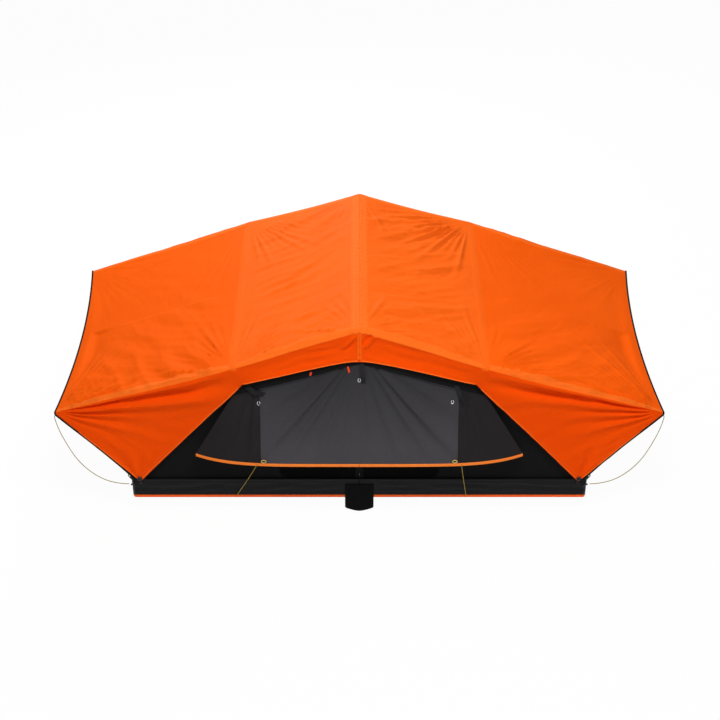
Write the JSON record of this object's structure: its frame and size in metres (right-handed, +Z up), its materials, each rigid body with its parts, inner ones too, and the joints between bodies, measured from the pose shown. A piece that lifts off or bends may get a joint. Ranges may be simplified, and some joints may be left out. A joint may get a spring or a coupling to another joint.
{
  "type": "roof top tent",
  "caption": "Fold-out roof top tent with an orange fly on hinged bows over a dark cloth body, a skirted two-part base with mounting rails, and a window flap held out as an awning",
  "frame": {"origin": "centre of the mounting slots, on the undersides of the rails under the fixed half", "axes": "X along the opened base from the fixed half to the folding half, Y along the fold line, Z up"},
  "size_m": [3.13, 1.6694, 1.1608],
  "materials": {
    "floor_board": "plain board",
    "edge_orange": "orange powder coat",
    "rail_aluminium": "mill finish",
    "steel": "zinc plated",
    "bracket_black": "black powder coat",
    "spacer_plastic": "nylon",
    "mattress_cloth": "quilted cover",
    "skirt_pvc": "coated cloth",
    "body_cloth": "coated canvas",
    "mesh_black": "insect mesh",
    "fly_orange": "coated polyester",
    "flap_grey": "coated canvas",
    "hem_orange": "binding tape",
    "webbing_black": "webbing",
    "hook_steel": "bright",
    "cord_yellow": "braided cord",
    "eyelet_brass": "satin",
    "plastic_black": "moulded",
    "pull_red": "moulded",
    "bow_aluminium": "brushed",
    "rod_steel": "spring steel",
    "cap_rubber": "matte"
  },
  "bodies": {
    "fixed_half": {"floor_panel_fixed": "floor_board", "edge_channel_fixed": "edge_orange", "hinge_bracket_fixed": "bracket_black", "bracket_screws_fixed": "steel", "mattress_fixed": "mattress_cloth", "skirt_fixed": "skirt_pvc", "rod_brackets_fixed": "bracket_black", "rod_pins_fixed": "steel", "tent_body_fixed": "body_cloth", "window_mesh_fixed": "mesh_black", "end_mesh_fixed": "mesh_black", "window_flap_fixed": "flap_grey", "flap_hem_fixed": "hem_orange", "flap_straps_fixed": "webbing_black", "flap_hooks_fixed": "hook_steel", "flap_cords_fixed": "cord_yellow", "hem_eyelets_fixed": "eyelet_brass", "cord_hooks_fixed": "plastic_black", "mounting_rails": "rail_aluminium", "rail_rivets": "steel", "hinge_pins": "steel", "hinge_nuts": "steel", "hinge_spacers": "spacer_plastic", "fold_cover": "skirt_pvc", "zip_pulls": "pull_red"},
    "folding_half": {"floor_panel_folding": "floor_board", "edge_channel_folding": "edge_orange", "hinge_bracket_folding": "bracket_black", "bracket_screws_folding": "steel", "mattress_folding": "mattress_cloth", "skirt_folding": "skirt_pvc", "rod_brackets_folding": "bracket_black", "rod_pins_folding": "steel", "tent_body_folding": "body_cloth", "window_mesh_folding": "mesh_black", "end_mesh_folding": "mesh_black", "window_flap_folding": "flap_grey", "flap_hem_folding": "hem_orange", "flap_straps_folding": "webbing_black", "flap_hooks_folding": "hook_steel", "flap_cords_folding": "cord_yellow", "hem_eyelets_folding": "eyelet_brass", "cord_hooks_folding": "plastic_black"},
    "fixed_bow": {"side_bow_fixed": "bow_aluminium", "side_bow_fixed_lugs": "bracket_black", "fly_roof_fixed": "fly_orange"},
    "centre_bow": {"middle_bow": "bow_aluminium", "middle_bow_lugs": "bracket_black"},
    "folding_bow": {"side_bow_folding": "bow_aluminium", "side_bow_folding_lugs": "bracket_black", "fly_roof_folding": "fly_orange"},
    "fixed_rods": {"awning_rods_fixed": "rod_steel", "rod_caps_fixed": "cap_rubber", "fly_awning_fixed": "fly_orange", "guy_cords_fixed": "cord_yellow"},
    "folding_rods": {"awning_rods_folding": "rod_steel", "rod_caps_folding": "cap_rubber", "fly_awning_folding": "fly_orange", "guy_cords_folding": "cord_yellow"}
  },
  "joints": [
    {"name": "fold_hinge", "type": "hinge", "parent": "fixed_half", "child": "folding_half", "pos_m": [0.6, 0, 0.1679], "axis": [0, -1, 0], "range_deg": [0, 180], "deforming": ["tent_body_fixed", "tent_body_folding", "window_mesh_fixed", "window_mesh_folding", "end_mesh_fixed", "end_mesh_folding", "fly_roof_fixed", "fly_roof_folding", "fly_awning_fixed", "fly_awning_folding", "window_flap_fixed", "window_flap_folding", "flap_hem_fixed", "flap_hem_folding", "flap_straps_fixed", "flap_straps_folding", "flap_hooks_fixed", "flap_hooks_folding", "flap_cords_fixed", "flap_cords_folding", "hem_eyelets_fixed", "hem_eyelets_folding", "guy_cords_fixed", "guy_cords_folding", "zip_pulls"]},
    {"name": "fixed_bow_hinge", "type": "hinge", "parent": "fixed_half", "child": "fixed_bow", "pos_m": [0.6, 0, 0.1679], "axis": [0, -1, 0], "range_deg": [0, 50.99]},
    {"name": "centre_bow_hinge", "type": "hinge", "parent": "fixed_bow", "child": "centre_bow", "pos_m": [0.6, 0, 0.1679], "axis": [0, -1, 0], "range_deg": [0, 39.03]},
    {"name": "folding_bow_hinge", "type": "hinge", "parent": "centre_bow", "child": "folding_bow", "pos_m": [0.6, 0, 0.1679], "axis": [0, -1, 0], "range_deg": [0, 39.03]},
    {"name": "fixed_rods_hinge", "type": "hinge", "parent": "fixed_half", "child": "fixed_rods", "pos_m": [-0.614, 0, 0.1589], "axis": [0, -1, 0], "range_deg": [-129.69, 0]},
    {"name": "folding_rods_hinge", "type": "hinge", "parent": "folding_half", "child": "folding_rods", "pos_m": [1.814, 0, 0.1589], "axis": [0, -1, 0], "range_deg": [0, 129.69]}
  ],
  "couplings": [
    {"joint": "fixed_bow_hinge", "follows": "fold_hinge", "ratio": 0.28322},
    {"joint": "centre_bow_hinge", "follows": "fold_hinge", "ratio": 0.21678},
    {"joint": "folding_bow_hinge", "follows": "fold_hinge", "ratio": 0.21678},
    {"joint": "fixed_rods_hinge", "follows": "fold_hinge", "ratio": -0.72043},
    {"joint": "folding_rods_hinge", "follows": "fold_hinge", "ratio": 0.72043}
  ]
}
